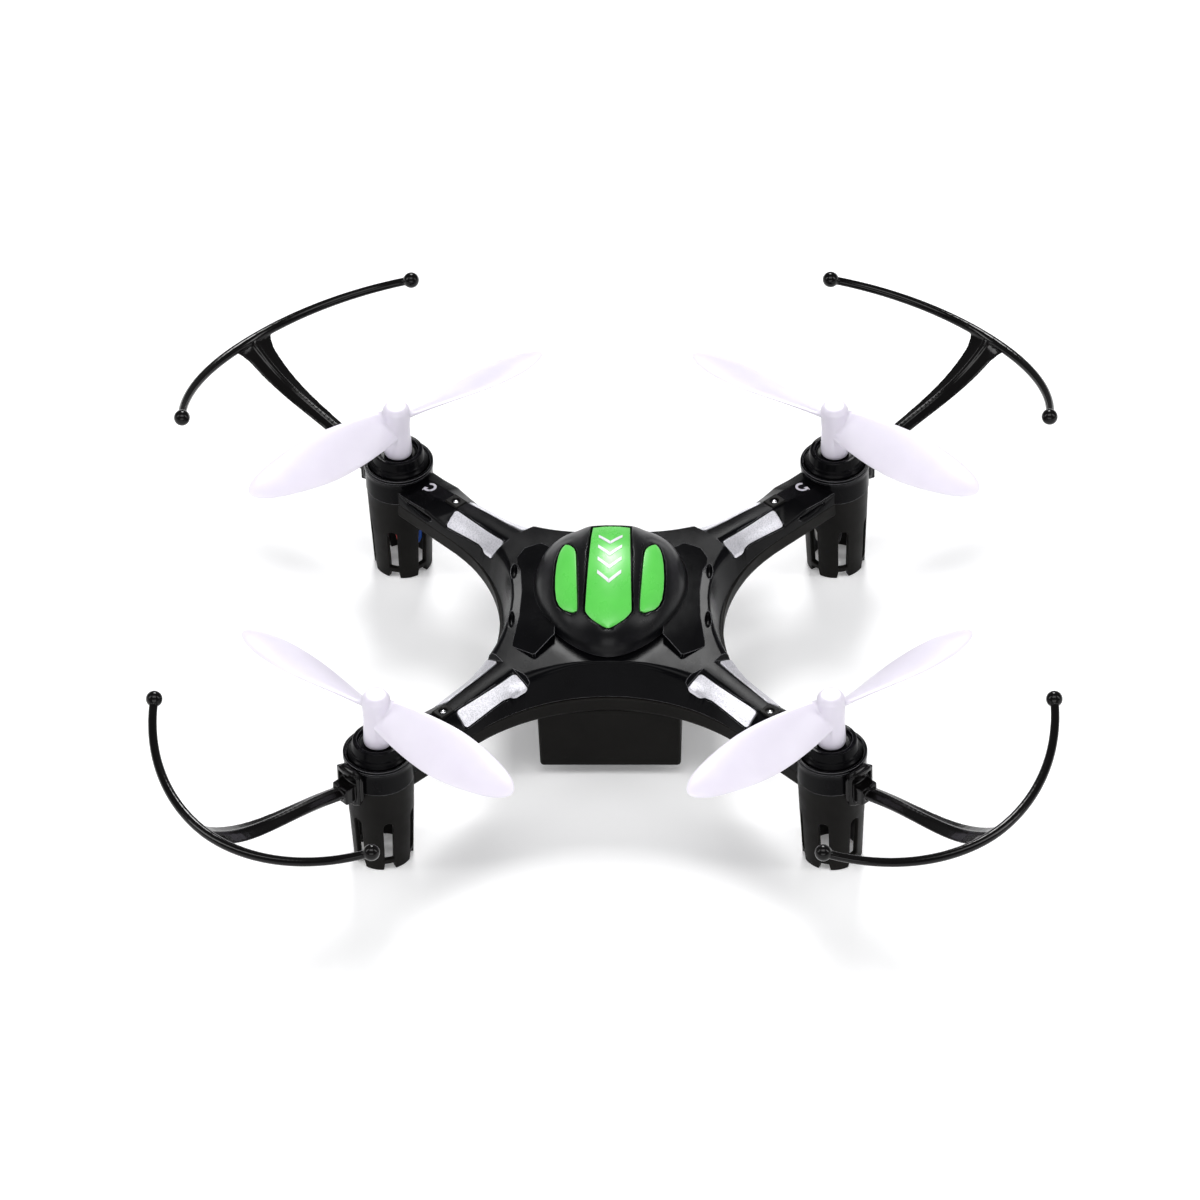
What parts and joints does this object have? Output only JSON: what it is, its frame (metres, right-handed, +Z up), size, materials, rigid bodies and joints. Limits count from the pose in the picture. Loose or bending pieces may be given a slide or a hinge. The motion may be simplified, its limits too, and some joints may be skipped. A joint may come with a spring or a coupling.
{
  "type": "mini quadcopter drone",
  "caption": "Palm-sized quadcopter with an X-shaped body, domed canopy, spinning two-blade propellers, clip-on bow guards and a slide-out battery.",
  "frame": {"origin": "on the ground, under the middle of the four motor sleeves", "axes": "+Z up; the nose and the pointed end of the canopy face -Y; the battery leaves at +Y; +X is to the right of someone facing the nose"},
  "size_m": [0.135, 0.135, 0.031],
  "materials": {
    "gloss_black": "polished moulded plastic",
    "canopy_black": "polished moulded plastic",
    "matt_black": "fine matt moulding",
    "guard_black": "satin moulding",
    "inlay_green": "smooth coloured plastic",
    "inlay_silver": "satin silver-white coating",
    "propeller_white": "smooth translucent white plastic",
    "motor_steel": "drawn can",
    "shaft_steel": "ground",
    "screw_steel": "blackened",
    "ivory_plastic": "plain moulding",
    "board_green": "solder resist",
    "chip_black": "moulded package",
    "battery_foil": "pouch foil",
    "wire_blue": "wire insulation",
    "wire_red": "wire insulation",
    "wire_white": "wire insulation",
    "wire_black": "wire insulation"
  },
  "bodies": {
    "airframe": {"top_shell": "gloss_black", "bottom_shell": "matt_black", "canopy": "canopy_black", "canopy_stripe": "inlay_green", "canopy_inlay_left": "inlay_green", "canopy_inlay_right": "inlay_green", "arm_inlay_front_left_a": "inlay_silver", "arm_inlay_front_left_b": "inlay_silver", "arm_inlay_front_right_a": "inlay_silver", "arm_inlay_front_right_b": "inlay_silver", "arm_inlay_rear_left_a": "inlay_silver", "arm_inlay_rear_left_b": "inlay_silver", "arm_inlay_rear_right_a": "inlay_silver", "arm_inlay_rear_right_b": "inlay_silver", "motor_can_front_left": "motor_steel", "motor_end_cap_front_left": "ivory_plastic", "motor_collar_front_left": "gloss_black", "prop_guard_front_left": "guard_black", "motor_wire_black_front_left": "wire_black", "motor_wire_white_front_left": "wire_white", "motor_can_front_right": "motor_steel", "motor_end_cap_front_right": "ivory_plastic", "motor_collar_front_right": "gloss_black", "prop_guard_front_right": "guard_black", "motor_wire_blue_front_right": "wire_blue", "motor_wire_red_front_right": "wire_red", "motor_can_rear_left": "motor_steel", "motor_end_cap_rear_left": "ivory_plastic", "motor_collar_rear_left": "gloss_black", "prop_guard_rear_left": "guard_black", "motor_wire_blue_rear_left": "wire_blue", "motor_wire_red_rear_left": "wire_red", "motor_can_rear_right": "motor_steel", "motor_end_cap_rear_right": "ivory_plastic", "motor_collar_rear_right": "gloss_black", "prop_guard_rear_right": "guard_black", "motor_wire_black_rear_right": "wire_black", "motor_wire_white_rear_right": "wire_white", "circuit_board": "board_green", "flight_chip": "chip_black", "radio_chip": "chip_black", "battery_socket": "ivory_plastic", "battery_lead_red": "wire_red", "battery_lead_black": "wire_black", "shell_screw_front_left": "screw_steel", "shell_screw_front_right": "screw_steel", "shell_screw_rear_left": "screw_steel", "shell_screw_rear_right": "screw_steel"},
    "rotor_front_left": {"propeller_front_left": "propeller_white", "motor_shaft_front_left": "shaft_steel"},
    "rotor_front_right": {"propeller_front_right": "propeller_white", "motor_shaft_front_right": "shaft_steel"},
    "rotor_rear_left": {"propeller_rear_left": "propeller_white", "motor_shaft_rear_left": "shaft_steel"},
    "rotor_rear_right": {"propeller_rear_right": "propeller_white", "motor_shaft_rear_right": "shaft_steel"},
    "battery": {"battery_cell": "battery_foil", "battery_plug": "ivory_plastic"}
  },
  "joints": [
    {"name": "spin_front_left", "type": "hinge", "parent": "airframe", "child": "rotor_front_left", "pos_m": [-0.0335, -0.0335, 0.0276], "axis": [0, 0, 1], "continuous": true},
    {"name": "spin_front_right", "type": "hinge", "parent": "airframe", "child": "rotor_front_right", "pos_m": [0.0335, -0.0335, 0.0276], "axis": [0, 0, -1], "continuous": true},
    {"name": "spin_rear_left", "type": "hinge", "parent": "airframe", "child": "rotor_rear_left", "pos_m": [-0.0335, 0.0335, 0.0276], "axis": [0, 0, -1], "continuous": true},
    {"name": "spin_rear_right", "type": "hinge", "parent": "airframe", "child": "rotor_rear_right", "pos_m": [0.0335, 0.0335, 0.0276], "axis": [0, 0, 1], "continuous": true},
    {"name": "battery_slide", "type": "slide", "parent": "airframe", "child": "battery", "axis": [0, 1, 0], "range_m": [0, 0.0275]}
  ]
}
